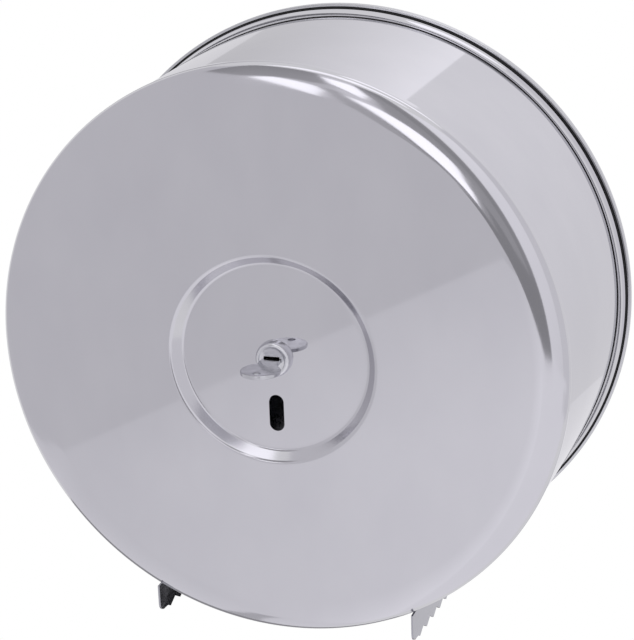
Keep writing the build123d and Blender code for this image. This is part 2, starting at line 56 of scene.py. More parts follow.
# Sheet sizes, as in the solid model
FACE_Y = -133.5
SHEET = 0.8
PAN_RADIUS = 146.5
SHOULDER_RADIAL = 16.5
SHOULDER_AXIAL = 6.0
SKIRT_EDGE_Y = -124.0
RECESS_MOUTH = 53.0
RECESS_BASE = 48.5
RECESS_DEPTH = 5.0
RECESS_LIP = 2.4
RECESS_FOOT = 1.8
LOCK_HOLE = 8.06
LOCK_FLAT = 7.26
WINDOW_WIDTH = 7.7
WINDOW_HEIGHT = 19.0
WINDOW_DROP = 28.8
WALL_FRONT_Y = -127.0
WALL_RADIUS = 145.6
WALL_SPREAD = 4.7
FLARE_RADIUS = 6.5
FLARE_RISE = 2.0
FLARE_EDGE_Y = -4.7
EXIT_FRONT_Y = -123.0
EXIT_REAR_Y = -18.6
EXIT_HALF = 69.15
LIP_HALF = 67.5
LIP_BEAD = 0.85
LIP_RISE = 1.7
RIM_RADIUS = 155.0
RIM_HEIGHT = 4.0
RIM_HEM = 1.4
RIM_CORNER = 0.8
PLATE_SHEET = 1.0
WALL_HOLES = [(x, z) for x in (-80.0, 80.0) for z in (-60.0, 60.0)]
WALL_HOLE = 3.25
SPINDLE_HOLES = [(30.0 * sin(a), 30.0 * cos(a)) for a in (pi / 4, 3 * pi / 4, -pi / 4, -3 * pi / 4)]
SPINDLE_HOLE = 2.06

# Lock barrel's thread and the feet of the cover's brackets
BARREL_RADIUS = 8.0
BARREL_FLAT = 7.2
THREAD_PITCH = 1.25
THREAD_FRONT_Y = -127.0
THREAD_LENGTH = 13.75
THREAD_RIDGE = 0.3
THREAD_SUNK = 0.05
FOOT_Y = -2.5
TAB_ANGLES = (45, 135, 225, 315)
TAB_WELDS = (128.0, 136.0)
GUIDE_WELD = 132.0
GUIDE_WELD_ASIDE = 11.0
WELD_RADIUS = 2.4
WELD_HEIGHT = 0.16

# Where the polish of the cover's sheet turns duller, as radii
SHOULDER_DULL_FROM = 129.0
SHOULDER_DULL_FULL = 138.0
STEP_MIDDLE = 50.6
STEP_DULL = 2.8             # fully dull up to this far from the step's middle
STEP_DULL_END = 4.6

# ---------------------------------------------------------------- material helpers


def linear(code):
    """An sRGB hex colour as linear red, green, blue and alpha."""
    channels = [int(code[i:i + 2], 16) / 255 for i in (0, 2, 4)]
    bent = [c / 12.92 if c <= 0.04045 else ((c + 0.055) / 1.055) ** 2.4 for c in channels]
    return (*bent, 1.0)


def add(tree, kind, inputs=None, **settings):
    """Adds a node, sets its settings, and fills each named input with a value or a link."""
    node = tree.nodes.new(kind)
    for name, value in settings.items():
        setattr(node, name, value)
    for name, value in (inputs or {}).items():
        if isinstance(value, bpy.types.Node):
            value = value.outputs[0]
        if isinstance(value, bpy.types.NodeSocket):
            tree.links.new(value, node.inputs[name])
        else:
            node.inputs[name].default_value = value
    return node


def new_material(name):
    """An empty material: its tree, and the surface's own coordinates in metres."""
    material = bpy.data.materials.new(name)
    material.use_nodes = True
    tree = material.node_tree
    tree.nodes.clear()
    return material, tree, add(tree, "ShaderNodeTexCoord").outputs["Object"]


def per_metre(size, stretch=(1, 1, 1)):
    """Scale of a pattern whose patches are this many millimetres wide, longer where stretched.

    Grain, pits and sparked skin are a few hundredths of a millimetre wide on the real parts.
    They are drawn 0.15 to 0.5 mm wide, because finer ones would not show in the render.
    """
    return [1 / (size * MM * s) for s in stretch]


# ---------------------------------------------------------------- finishes


def polished_steel():
    """Cover sheet, mirror polished and wiped: hair-fine marks, faint cloudy smears.

    Where the sheet was drawn round the shoulder and the recess, its polish is duller.
    """
    material, tree, place = new_material("polished_stainless_sheet")
    smears = add(tree, "ShaderNodeTexNoise", {
        "Vector": add(tree, "ShaderNodeMapping", {
            "Vector": place, "Scale": per_metre(34, (1, 1, 1.6))}),
        "Scale": 1.0, "Detail": 4.0})
    marks = add(tree, "ShaderNodeTexNoise", {
        "Vector": add(tree, "ShaderNodeMapping", {
            "Vector": place, "Scale": per_metre(0.5, (50, 50, 1))}),
        "Scale": 1.0, "Detail": 2.0})
    ripple = add(tree, "ShaderNodeTexNoise", {
        "Vector": add(tree, "ShaderNodeMapping", {"Vector": place, "Scale": per_metre(60)}),
        "Scale": 1.0, "Detail": 1.0})
    wiped = add(tree, "ShaderNodeMapRange", {
        "Value": smears, "From Min": 0.3, "From Max": 0.7, "To Min": 0.018, "To Max": 0.03})
    brushed = add(tree, "ShaderNodeMapRange", {
        "Value": marks, "From Min": 0.3, "From Max": 0.7, "To Min": 0.0, "To Max": 0.008})
    flat_place = add(tree, "ShaderNodeVectorMath", {0: place, 1: (1, 0, 1)}, operation="MULTIPLY")
    radius = add(tree, "ShaderNodeVectorMath", {0: flat_place}, operation="LENGTH").outputs["Value"]
    along = add(tree, "ShaderNodeSeparateXYZ", {"Vector": place}).outputs["Y"]
    shoulder = add(tree, "ShaderNodeMapRange", {
        "Value": radius, "From Min": SHOULDER_DULL_FROM * MM, "From Max": SHOULDER_DULL_FULL * MM,
        "To Max": 0.055}, interpolation_type="SMOOTHSTEP")
    ahead = add(tree, "ShaderNodeMapRange", {
        "Value": along, "From Min": (SKIRT_EDGE_Y - 0.5) * MM, "From Max": (SKIRT_EDGE_Y + 0.5) * MM,
        "To Min": 1.0, "To Max": 0.3})
    from_step = add(tree, "ShaderNodeMath", {
        0: add(tree, "ShaderNodeMath", {0: radius, 1: STEP_MIDDLE * MM}, operation="SUBTRACT")},
        operation="ABSOLUTE")
    step = add(tree, "ShaderNodeMapRange", {
        "Value": from_step, "From Min": STEP_DULL * MM, "From Max": STEP_DULL_END * MM,
        "To Min": 0.12, "To Max": 0.0})
    drawn = add(tree, "ShaderNodeMath", {0: shoulder, 1: ahead, 2: step}, operation="MULTIPLY_ADD")
    dull = add(tree, "ShaderNodeMath", {0: wiped, 1: drawn}, operation="ADD")
    colour = add(tree, "ShaderNodeMix", {
        0: smears, 6: linear("C2C1C7"), 7: linear("CCCBD0")}, data_type="RGBA")
    dented = add(tree, "ShaderNodeBump", {"Height": ripple, "Distance": 0.0015 * MM})
    shader = add(tree, "ShaderNodeBsdfPrincipled", {
        "Base Color": colour.outputs[2], "Metallic": 1.0,
        "Roughness": add(tree, "ShaderNodeMath", {0: dull, 1: brushed}, operation="ADD"),
        "Normal": add(tree, "ShaderNodeBump", {
            "Height": marks, "Distance": 0.00008 * MM, "Normal": dented})})
    add(tree, "ShaderNodeOutputMaterial", {"Surface": shader})
    return material


def plate_steel():
    """Back plate and brackets, cold-rolled sheet: a soft grain along its length, dull patches."""
    material, tree, place = new_material("cold_rolled_stainless_plate")
    grain = add(tree, "ShaderNodeTexNoise", {
        "Vector": add(tree, "ShaderNodeMapping", {
            "Vector": place, "Scale": per_metre(0.4, (1, 1, 80))}),
        "Scale": 1.0, "Detail": 3.0})
    patches = add(tree, "ShaderNodeTexNoise", {
        "Vector": add(tree, "ShaderNodeMapping", {"Vector": place, "Scale": per_metre(28)}),
        "Scale": 1.0, "Detail": 3.0})
    dull = add(tree, "ShaderNodeMapRange", {
        "Value": patches, "From Min": 0.3, "From Max": 0.7, "To Min": 0.08, "To Max": 0.14})
    rolled = add(tree, "ShaderNodeMapRange", {
        "Value": grain, "From Min": 0.3, "From Max": 0.7, "To Min": 0.0, "To Max": 0.06})
    colour = add(tree, "ShaderNodeMix", {
        0: patches, 6: linear("BDBDC1"), 7: linear("C5C5C9")}, data_type="RGBA")
    shader = add(tree, "ShaderNodeBsdfPrincipled", {
        "Base Color": colour.outputs[2], "Metallic": 1.0,
        "Roughness": add(tree, "ShaderNodeMath", {0: dull, 1: rolled}, operation="ADD"),
        "Normal": add(tree, "ShaderNodeBump", {"Height": grain, "Distance": 0.0005 * MM})})
    add(tree, "ShaderNodeOutputMaterial", {"Surface": shader})
    return material


def cutter_steel():
    """Cutters, matt strip: directional grain along the drum and dulled patches."""
    material, tree, place = new_material("matt_stainless_strip")
    grain = add(tree, "ShaderNodeTexNoise", {
        "Vector": add(tree, "ShaderNodeMapping", {
            "Vector": place, "Scale": per_metre(0.25, (1, 90, 1))}),
        "Scale": 1.0, "Detail": 3.0})
    patches = add(tree, "ShaderNodeTexNoise", {
        "Vector": add(tree, "ShaderNodeMapping", {"Vector": place, "Scale": per_metre(9)}),
        "Scale": 1.0, "Detail": 3.0})
    dull = add(tree, "ShaderNodeMapRange", {
        "Value": patches, "From Min": 0.3, "From Max": 0.7, "To Min": 0.1, "To Max": 0.17})
    rolled = add(tree, "ShaderNodeMapRange", {
        "Value": grain, "From Min": 0.3, "From Max": 0.7, "To Min": 0.0, "To Max": 0.06})
    colour = add(tree, "ShaderNodeMix", {
        0: patches, 6: linear("A0A0A6"), 7: linear("B4B4BA")}, data_type="RGBA")
    shader = add(tree, "ShaderNodeBsdfPrincipled", {
        "Base Color": colour.outputs[2], "Metallic": 1.0,
        "Roughness": add(tree, "ShaderNodeMath", {0: dull, 1: rolled}, operation="ADD"),
        "Normal": add(tree, "ShaderNodeBump", {"Height": grain, "Distance": 0.002 * MM})})
    add(tree, "ShaderNodeOutputMaterial", {"Surface": shader})
    return material


def zinc_steel():
    """Turned and pressed steel with bright zinc: spangled patches, blue to straw."""
    material, tree, place = new_material("bright_zinc_plated_steel")
    spangle = add(tree, "ShaderNodeTexVoronoi", {
        "Vector": add(tree, "ShaderNodeMapping", {"Vector": place, "Scale": per_metre(1.8)}),
        "Scale": 1.0})
    stain = add(tree, "ShaderNodeTexNoise", {
        "Vector": add(tree, "ShaderNodeMapping", {"Vector": place, "Scale": per_metre(14)}),
        "Scale": 1.0, "Detail": 3.0})
    colour = add(tree, "ShaderNodeMix", {
        0: stain, 6: linear("A6ACB5"), 7: linear("BDBAB0")}, data_type="RGBA")
    shader = add(tree, "ShaderNodeBsdfPrincipled", {
        "Base Color": colour.outputs[2], "Metallic": 1.0,
        "Roughness": add(tree, "ShaderNodeMapRange", {
            "Value": spangle, "From Max": 0.8, "To Min": 0.22, "To Max": 0.36}),
        "Normal": add(tree, "ShaderNodeBump", {"Height": spangle, "Distance": 0.004 * MM})})
    add(tree, "ShaderNodeOutputMaterial", {"Surface": shader})
    return material


def nickel(name, dark, light):
    """Nickel over a die casting, bright but soft: fine pits and rubbed patches."""
    material, tree, place = new_material(name)
    pits = add(tree, "ShaderNodeTexNoise", {
        "Vector": add(tree, "ShaderNodeMapping", {"Vector": place, "Scale": per_metre(0.45)}),
        "Scale": 1.0, "Detail": 2.0})
    rubbed = add(tree, "ShaderNodeTexNoise", {
        "Vector": add(tree, "ShaderNodeMapping", {"Vector": place, "Scale": per_metre(3.5)}),
        "Scale": 1.0, "Detail": 4.0})
    colour = add(tree, "ShaderNodeMix", {
        0: rubbed, 6: linear(dark), 7: linear(light)}, data_type="RGBA")
    shader = add(tree, "ShaderNodeBsdfPrincipled", {
        "Base Color": colour.outputs[2], "Metallic": 1.0,
        "Roughness": add(tree, "ShaderNodeMapRange", {
            "Value": rubbed, "From Min": 0.3, "From Max": 0.7, "To Min": 0.14, "To Max": 0.26}),
        "Normal": add(tree, "ShaderNodeBump", {"Height": pits, "Distance": 0.0015 * MM})})
    add(tree, "ShaderNodeOutputMaterial", {"Surface": shader})
    return material


def stamped_brass():
    """Lock wafers, yellow brass strip: streaks along the rolling."""
    material, tree, place = new_material("stamped_brass_wafer")
    streaks = add(tree, "ShaderNodeTexNoise", {
        "Vector": add(tree, "ShaderNodeMapping", {
            "Vector": place, "Scale": per_metre(0.2, (30, 1, 1))}),
        "Scale": 1.0, "Detail": 2.0})
    colour = add(tree, "ShaderNodeMix", {
        0: streaks, 6: linear("B08E49"), 7: linear("C7A75E")}, data_type="RGBA")
    shader = add(tree, "ShaderNodeBsdfPrincipled", {
        "Base Color": colour.outputs[2], "Metallic": 1.0,
        "Roughness": add(tree, "ShaderNodeMapRange", {
            "Value": streaks, "From Min": 0.3, "From Max": 0.7, "To Min": 0.22, "To Max": 0.34})})
    add(tree, "ShaderNodeOutputMaterial", {"Surface": shader})
    return material


def black_rubber():
    """Rim seal, moulded rubber: dull black skin with a dusty bloom."""
    material, tree, place = new_material("black_moulded_rubber")
    bloom = add(tree, "ShaderNodeTexNoise", {
        "Vector": add(tree, "ShaderNodeMapping", {"Vector": place, "Scale": per_metre(6)}),
        "Scale": 1.0, "Detail": 4.0})
    skin = add(tree, "ShaderNodeTexNoise", {
        "Vector": add(tree, "ShaderNodeMapping", {"Vector": place, "Scale": per_metre(0.3)}),
        "Scale": 1.0, "Detail": 2.0})
    colour = add(tree, "ShaderNodeMix", {
        0: bloom, 6: linear("0C0C0E"), 7: linear("171619")}, data_type="RGBA")
    shader = add(tree, "ShaderNodeBsdfPrincipled", {
        "Base Color": colour.outputs[2], "Specular IOR Level": 0.3,
        "Roughness": add(tree, "ShaderNodeMapRange", {
            "Value": bloom, "From Min": 0.3, "From Max": 0.7, "To Min": 0.5, "To Max": 0.66}),
        "Normal": add(tree, "ShaderNodeBump", {"Height": skin, "Distance": 0.01 * MM})})
    add(tree, "ShaderNodeOutputMaterial", {"Surface": shader})
    return material


def hub_plastic():
    """Roll hub, grey moulding: a fine sparked texture and faint flow clouds."""
    material, tree, place = new_material("grey_moulded_hub_plastic")
    flow = add(tree, "ShaderNodeTexNoise", {
        "Vector": add(tree, "ShaderNodeMapping", {"Vector": place, "Scale": per_metre(18)}),
        "Scale": 1.0, "Detail": 2.0})
    sparked = add(tree, "ShaderNodeTexNoise", {
        "Vector": add(tree, "ShaderNodeMapping", {"Vector": place, "Scale": per_metre(0.35)}),
        "Scale": 1.0, "Detail": 1.0})
    colour = add(tree, "ShaderNodeMix", {
        0: flow, 6: linear("84878C"), 7: linear("95989D")}, data_type="RGBA")
    shader = add(tree, "ShaderNodeBsdfPrincipled", {
        "Base Color": colour.outputs[2],
        "Roughness": add(tree, "ShaderNodeMapRange", {
            "Value": flow, "From Min": 0.3, "From Max": 0.7, "To Min": 0.42, "To Max": 0.5}),
        "Normal": add(tree, "ShaderNodeBump", {"Height": sparked, "Distance": 0.012 * MM})})
    add(tree, "ShaderNodeOutputMaterial", {"Surface": shader})
    return material


def bush_plastic():
    """Bushes and thrust washers, natural acetal: creamy white, turned and slightly waxy."""
    material, tree, place = new_material("natural_white_acetal")
    flow = add(tree, "ShaderNodeTexNoise", {
        "Vector": add(tree, "ShaderNodeMapping", {"Vector": place, "Scale": per_metre(7)}),
        "Scale": 1.0, "Detail": 2.0})
    tooled = add(tree, "ShaderNodeTexNoise", {
        "Vector": add(tree, "ShaderNodeMapping", {
            "Vector": place, "Scale": per_metre(0.15, (40, 1, 40))}),
        "Scale": 1.0, "Detail": 1.0})
    colour = add(tree, "ShaderNodeMix", {
        0: flow, 6: linear("DCD9CF"), 7: linear("EAE8E1")}, data_type="RGBA")
    shader = add(tree, "ShaderNodeBsdfPrincipled", {
        "Base Color": colour.outputs[2],
        "Roughness": add(tree, "ShaderNodeMapRange", {
            "Value": flow, "From Min": 0.3, "From Max": 0.7, "To Min": 0.3, "To Max": 0.4}),
        "Normal": add(tree, "ShaderNodeBump", {"Height": tooled, "Distance": 0.002 * MM})})
    add(tree, "ShaderNodeOutputMaterial", {"Surface": shader})
    return material


def weld_tint():
    """Spot welds: pressed steel with the straw and blue stain of the weld's heat."""
    material, tree, place = new_material("heat_stained_spot_weld")
    stain = add(tree, "ShaderNodeTexNoise", {
        "Vector": add(tree, "ShaderNodeMapping", {"Vector": place, "Scale": per_metre(1.6)}),
        "Scale": 1.0, "Detail": 3.0})
    colour = add(tree, "ShaderNodeMix", {
        0: stain, 6: linear("8F8C94"), 7: linear("B3A58C")}, data_type="RGBA")
    shader = add(tree, "ShaderNodeBsdfPrincipled", {
        "Base Color": colour.outputs[2], "Metallic": 1.0,
        "Roughness": add(tree, "ShaderNodeMapRange", {
            "Value": stain, "From Min": 0.3, "From Max": 0.7, "To Min": 0.25, "To Max": 0.42})})
    add(tree, "ShaderNodeOutputMaterial", {"Surface": shader})
    return material


finishes = {
    "polished_steel": polished_steel(),
    "plate_steel": plate_steel(),
    "cutter_steel": cutter_steel(),
    "zinc_steel": zinc_steel(),
    "nickel": nickel("nickel_plated_lock_parts", "C0C0C5", "D2D2D7"),
    "wafer_brass": stamped_brass(),
    "black_rubber": black_rubber(),
    "hub_plastic": hub_plastic(),
    "bush_plastic": bush_plastic(),
}
own_finishes = {
    "key": nickel("nickel_plated_key", "B6B6BB", "C8C8CD"),
    "lock_plug": nickel("nickel_plated_plug", "CFCFD4", "DEDEE2"),
    "lock_barrel": nickel("nickel_plated_barrel", "C6C6CB", "D8D8DD"),
}


def dress_cad_nodes():
    """Gives every carried-over node the finish of its own material slot."""
    for part in frame["record"]["subparts"]:
        mesh = frame["nodes"][part["node"]].data
        finish = own_finishes.get(part["node"], finishes[part["material_slot"]])
        mesh.materials.clear()
        mesh.materials.append(finish)


# ---------------------------------------------------------------- fine sheet metal


def arc(centre, radii, start, end, steps):
    """Points (radius, y) along an arc or a quarter of an ellipse, angles in radians."""
    return [(centre[0] + radii[0] * cos(start + (end - start) * i / steps),
             centre[1] + radii[1] * sin(start + (end - start) * i / steps))
            for i in range(steps + 1)]


def rounded_corner(before, corner, after, radius, steps):
    """Arc that rounds a corner of an outline, with a point just ahead and just behind it."""
    hold = 0.2
    a, b, c = (Vector(p) for p in (before, corner, after))
    into = (b - a).normalized()
    out = (c - b).normalized()
    turn = into.angle(out)
    reach = radius * tan(turn / 2)
    start = b - into * reach
    side = Vector((-into.y, into.x)) if into.cross(out) > 0 else Vector((into.y, -into.x))
    centre = start + side * radius
    sign = 1 if into.cross(out) > 0 else -1
    first = atan2(start.y - centre.y, start.x - centre.x)
    bend = arc(centre, (radius, radius), first, first + sign * turn, steps)
    return [tuple(start - into * hold), *bend, tuple(b + out * (reach + hold))]


def ring_points(radius, y):
    return [Vector((radius * sin(2 * pi * k / TURN_STEPS), y, -radius * cos(2 * pi * k / TURN_STEPS)))
            for k in range(TURN_STEPS)]


def round_hole(x, z, radius, y, flat=None):
    """Outline of a round hole in a sheet across the axis, with two flats if asked."""
    steps = 64
    limit = radius if flat is None else flat
    return [Vector((x + max(-limit, min(limit, radius * cos(2 * pi * k / steps))), y,
                    z + radius * sin(2 * pi * k / steps))) for k in range(steps)]


def slot_hole(y):
    """Outline of the upright level window."""
    steps = 24
    half = WINDOW_WIDTH / 2
    rise = WINDOW_HEIGHT / 2 - half
    top = [Vector((half * cos(pi * k / steps), y, -WINDOW_DROP + rise + half * sin(pi * k / steps)))
           for k in range(steps + 1)]
    low = [Vector((-half * cos(pi * k / steps), y, -WINDOW_DROP - rise - half * sin(pi * k / steps)))
           for k in range(steps + 1)]
    return top + low


def turned_sheet(outline, front_holes, back_holes):
    """A sheet turned from an open outline; each end closes with a flat floor that has holes."""
    points = []
    faces = []
    for radius, y in outline:
        points += ring_points(radius, y)
    for row in range(len(outline) - 1):
        for k in range(TURN_STEPS):
            after = (k + 1) % TURN_STEPS
            a = row * TURN_STEPS
            faces.append((a + k, a + after, a + TURN_STEPS + after, a + TURN_STEPS + k))
    ends = ((0, front_holes), ((len(outline) - 1) * TURN_STEPS, back_holes))
    starts = []
    for first, holes in ends:
        edge = list(range(first, first + TURN_STEPS))
        loops = [points[first:first + TURN_STEPS], *holes]
        for hole in holes:
            starts.append(len(points))
            edge += range(len(points), len(points) + len(hole))
            points += hole
        faces += [tuple(edge[i] for i in face) for face in tessellate_polygon(loops)]
    for i, hole in enumerate(front_holes):
        a = starts[i]
        b = starts[i + len(front_holes)]
        for k in range(len(hole)):
            after = (k + 1) % len(hole)
            faces.append((a + k, a + after, b + after, b + k))
    return points, faces


def sheet_piece(name, points, faces, slot, body, replaced):
    """Makes the mesh, turns its faces outwards, smooths it and hangs it on its body."""
    mesh = bpy.data.meshes.new(name)
    mesh.from_pydata([Vector(p) * MM for p in points], [], faces)
    shaped = bmesh.new()
    shaped.from_mesh(mesh)
    bmesh.ops.recalc_face_normals(shaped, faces=shaped.faces)
    for face in shaped.faces:
        face.smooth = True
    shaped.to_mesh(mesh)
    shaped.free()
    mesh.set_sharp_from_angle(angle=radians(34))
    mesh.materials.append(finishes[slot])
    made = bpy.data.objects.new(name, mesh)
    bpy.context.scene.collection.objects.link(made)
    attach(made, body)
    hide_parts(replaced)
    return made


def pan_outline(inset):
    """The pan's skin from the recess floor to the skirt's edge, this far in from the outside."""
    turn = atan2(RECESS_DEPTH, RECESS_MOUTH - RECESS_BASE)
    shift = inset * tan(turn / 2)
    front = FACE_Y + inset
    corners = [(0, front + RECESS_DEPTH), (RECESS_BASE + shift, front + RECESS_DEPTH),
               (RECESS_MOUTH + shift, front), (PAN_RADIUS - SHOULDER_RADIAL, front)]
    foot = rounded_corner(*corners[0:3], RECESS_FOOT + inset, 14)
    lip = rounded_corner(*corners[1:4], RECESS_LIP - inset, 14)
    centre = (PAN_RADIUS - SHOULDER_RADIAL, FACE_Y + SHOULDER_AXIAL)
    crown = arc(centre, (SHOULDER_RADIAL - inset, SHOULDER_AXIAL - inset), -pi / 2, 0, 48)
    hold = 0.2
    ahead = (centre[0] - hold, front)
    edge = PAN_RADIUS - inset
    return [*foot, *lip, ahead, *crown, (edge, centre[1] + hold), (edge, SKIRT_EDGE_Y)]


def make_front_pan():
    outside = pan_outline(0)
    inside = pan_outline(SHEET)
    floor_y = FACE_Y + RECESS_DEPTH
    holes = [[round_hole(0, 0, LOCK_HOLE, y, LOCK_FLAT), slot_hole(y)]
             for y in (floor_y, floor_y + SHEET)]
    points, faces = turned_sheet([*outside, *reversed(inside)], *holes)
    sheet_piece("cover_pan_sheet", points, faces, "polished_steel", "cover", "front_pan")


def wall_outline():
    """The drum wall's outer and inner skins from front edge to flare, point for point."""
    turn = acos(1 - FLARE_RISE / FLARE_RADIUS)
    start_y = FLARE_EDGE_Y - (FLARE_RADIUS + SHEET) * sin(turn)
    spread = WALL_SPREAD / (start_y - SKIRT_EDGE_Y)
    rear = WALL_RADIUS + WALL_SPREAD
    hold = 0.3
    rows = [WALL_FRONT_Y, EXIT_FRONT_Y, (EXIT_FRONT_Y + EXIT_REAR_Y) / 2, EXIT_REAR_Y, start_y - hold]
    straight = [(WALL_RADIUS + spread * (y - SKIRT_EDGE_Y), y) for y in rows]
    skins = []
    for inset in (0, SHEET):
        radius = FLARE_RADIUS + inset
        bend = arc((rear + FLARE_RADIUS, start_y), (radius, radius), pi, pi - turn, 14)
        skins.append([(r - inset, y) for r, y in straight] + bend)
    return skins


def make_drum_wall():
    """Rolled wall as a grid whose lines follow the paper exit's edges."""
    outside, inside = wall_outline()
    rows = [*outside, *reversed(inside)]
    total = len(rows)
    half_steps = TURN_STEPS // 2
    exit_steps = 76
    points = []
    for radius, y in rows:
        edge = asin(EXIT_HALF / radius)
        for k in range(-half_steps, half_steps):
            side = 1 if k >= 0 else -1
            outer = edge + (pi - edge) * (abs(k) - exit_steps) / (half_steps - exit_steps)
            angle = edge * k / exit_steps if abs(k) <= exit_steps else side * outer
            points.append((radius * sin(angle), y, -radius * cos(angle)))

    def spot(row, k):
        return (row % total) * TURN_STEPS + (k + half_steps) % TURN_STEPS

    # The exit's front edge is row 1 of the outer skin, its middle row 2 and its rear edge row 3,
    # and the inner skin's rows come in reverse order after the flare's edge.
    exit_rows = (1, 2, total - 4, total - 3)
    faces = []
    for row in range(total):
        for k in range(-half_steps, half_steps):
            if row in exit_rows and -exit_steps <= k < exit_steps:
                continue
            faces.append((spot(row, k), spot(row, k + 1), spot(row + 1, k + 1), spot(row + 1, k)))
    for row in (1, 2):
        for k in (-exit_steps, exit_steps):
            back = total - 1 - row
            faces.append((spot(row, k), spot(row + 1, k), spot(back - 1, k), spot(back, k)))
    for row in (1, 3):
        for k in range(-exit_steps, exit_steps):
            back = total - 1 - row
            faces.append((spot(row, k), spot(row, k + 1), spot(back, k + 1), spot(back, k)))
    lip_points, lip_faces = exit_lip(outside)
    faces += [tuple(i + len(points) for i in face) for face in lip_faces]
    sheet_piece("cover_wall_sheet", points + lip_points, faces, "polished_steel", "cover",
                "drum_wall")


def exit_lip(outside):
    """Folded lip with a rolled edge between the cutters, its two ends cut straight."""
    middle_y = EXIT_FRONT_Y - SHEET / 2
    overlap = 0.05
    root = outside[1][0] - overlap
    bead = PAN_RADIUS + LIP_RISE - LIP_BEAD
    meet = asin(SHEET / 2 / LIP_BEAD)
    section = [(root, middle_y - SHEET / 2), *arc((bead, middle_y), (LIP_BEAD, LIP_BEAD),
                                                 -pi + meet, pi - meet, 20),
               (root, middle_y + SHEET / 2)]
    steps = 160
    points = []
    for k in range(steps + 1):
        for radius, y in section:
            angle = asin(LIP_HALF / radius) * (2 * k / steps - 1)
            points.append((radius * sin(angle), y, -radius * cos(angle)))
    count = len(section)
    faces = [tuple(range(count)), tuple(range(steps * count, (steps + 1) * count))]
    for k in range(steps):
        for i in range(count):
            after = (i + 1) % count
            faces.append((k * count + i, k * count + after,
                          (k + 1) * count + after, (k + 1) * count + i))
    return points, faces


def make_back_plate():
    """Pressed disc with a hemmed rim, wall screw holes and spindle rivet holes."""
    hold = 0.2
    low = RIM_RADIUS - RIM_CORNER
    inner = RIM_RADIUS - RIM_HEM
    front_corner = arc((low, RIM_CORNER - RIM_HEIGHT), (RIM_CORNER, RIM_CORNER), -pi / 2, 0, 12)
    rear_corner = arc((low, -RIM_CORNER), (RIM_CORNER, RIM_CORNER), 0, pi / 2, 12)
    outline = [(inner - hold, -PLATE_SHEET), (inner, -PLATE_SHEET), (inner, -RIM_HEIGHT),
               *front_corner, *rear_corner, (low - hold, 0)]
    holes = [[*(round_hole(x, z, WALL_HOLE, y) for x, z in WALL_HOLES),
              *(round_hole(x, z, SPINDLE_HOLE, y) for x, z in SPINDLE_HOLES)]
             for y in (-PLATE_SHEET, 0)]
    points, faces = turned_sheet(outline, *holes)
    sheet_piece("base_plate_sheet", points, faces, "plate_steel", "base", "back_plate")


# ---------------------------------------------------------------- spot welds and lock thread


def new_tree(name, sizes):
    """An empty Geometry Nodes tree with these named sizes as inputs, and its input node."""
    tree = bpy.data.node_groups.new(name, "GeometryNodeTree")
    tree.interface.new_socket("Geometry", in_out="INPUT", socket_type="NodeSocketGeometry")
    tree.interface.new_socket("Geometry", in_out="OUTPUT", socket_type="NodeSocketGeometry")
    for size in sizes:
        tree.interface.new_socket(size, in_out="INPUT", socket_type="NodeSocketFloat")
    return tree, add(tree, "NodeGroupInput")


def close_tree(tree, shape, material):
    """Ends the tree: real mesh, in its material."""
    solid = add(tree, "GeometryNodeRealizeInstances", {"Geometry": shape})
    dressed = add(tree, "GeometryNodeSetMaterial", {"Geometry": solid, "Material": material})
    add(tree, "NodeGroupOutput", {"Geometry": dressed})


def make_from_tree(name, points, tree, sizes, body):
    """Runs the tree on these points and hangs the plain mesh that it makes on its body."""
    mesh = bpy.data.meshes.new(name + "_points")
    mesh.from_pydata([Vector(point) * MM for point in points], [], [])
    source = bpy.data.objects.new(name + "_points", mesh)
    bpy.context.scene.collection.objects.link(source)
    modifier = source.modifiers.new("shape", "NODES")
    modifier.node_group = tree
    for item in tree.interface.items_tree:
        if item.in_out == "INPUT" and item.name in sizes:
            modifier[item.identifier] = sizes[item.name]
    view = bpy.context.evaluated_depsgraph_get()
    made = bpy.data.objects.new(name, bpy.data.meshes.new_from_object(source.evaluated_get(view)))
    bpy.data.objects.remove(source)
    bpy.context.scene.collection.objects.link(made)
    material = made.data.materials[-1]
    made.data.materials.clear()
    made.data.materials.append(material)
    for face in made.data.polygons:
        face.material_index = 0
    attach(made, body)
    return made


def weld_tree():
    """Sets a shallow pressed weld on every point."""
    tree, given = new_tree("spot_welds", ("Weld Radius", "Weld Height"))
    bump = add(tree, "GeometryNodeMeshCone", {
        "Vertices": 24, "Side Segments": 1, "Fill Segments": 3,
        "Radius Top": add(tree, "ShaderNodeMath", {
            0: given.outputs["Weld Radius"], 1: 0.7}, operation="MULTIPLY"),
        "Radius Bottom": given.outputs["Weld Radius"],
        "Depth": given.outputs["Weld Height"]})
    turned = add(tree, "GeometryNodeTransform", {
        "Geometry": bump, "Rotation": (pi / 2, 0, 0)})
    welds = add(tree, "GeometryNodeInstanceOnPoints", {
        "Points": given.outputs["Geometry"], "Instance": turned})
    close_tree(tree, welds, weld_tint())
    return tree


def make_spot_welds():
    """Two welds in the foot of each cover bracket: in line on the tabs, abreast on the guide."""
    spots = [(radius * sin(radians(angle)), FOOT_Y, radius * cos(radians(angle)))
             for angle in TAB_ANGLES for radius in TAB_WELDS]
    spots += [(aside, FOOT_Y, GUIDE_WELD) for aside in (-GUIDE_WELD_ASIDE, GUIDE_WELD_ASIDE)]
    sizes = {"Weld Radius": WELD_RADIUS * MM, "Weld Height": WELD_HEIGHT * MM}
    make_from_tree("bracket_spot_welds", spots, weld_tree(), sizes, "base")


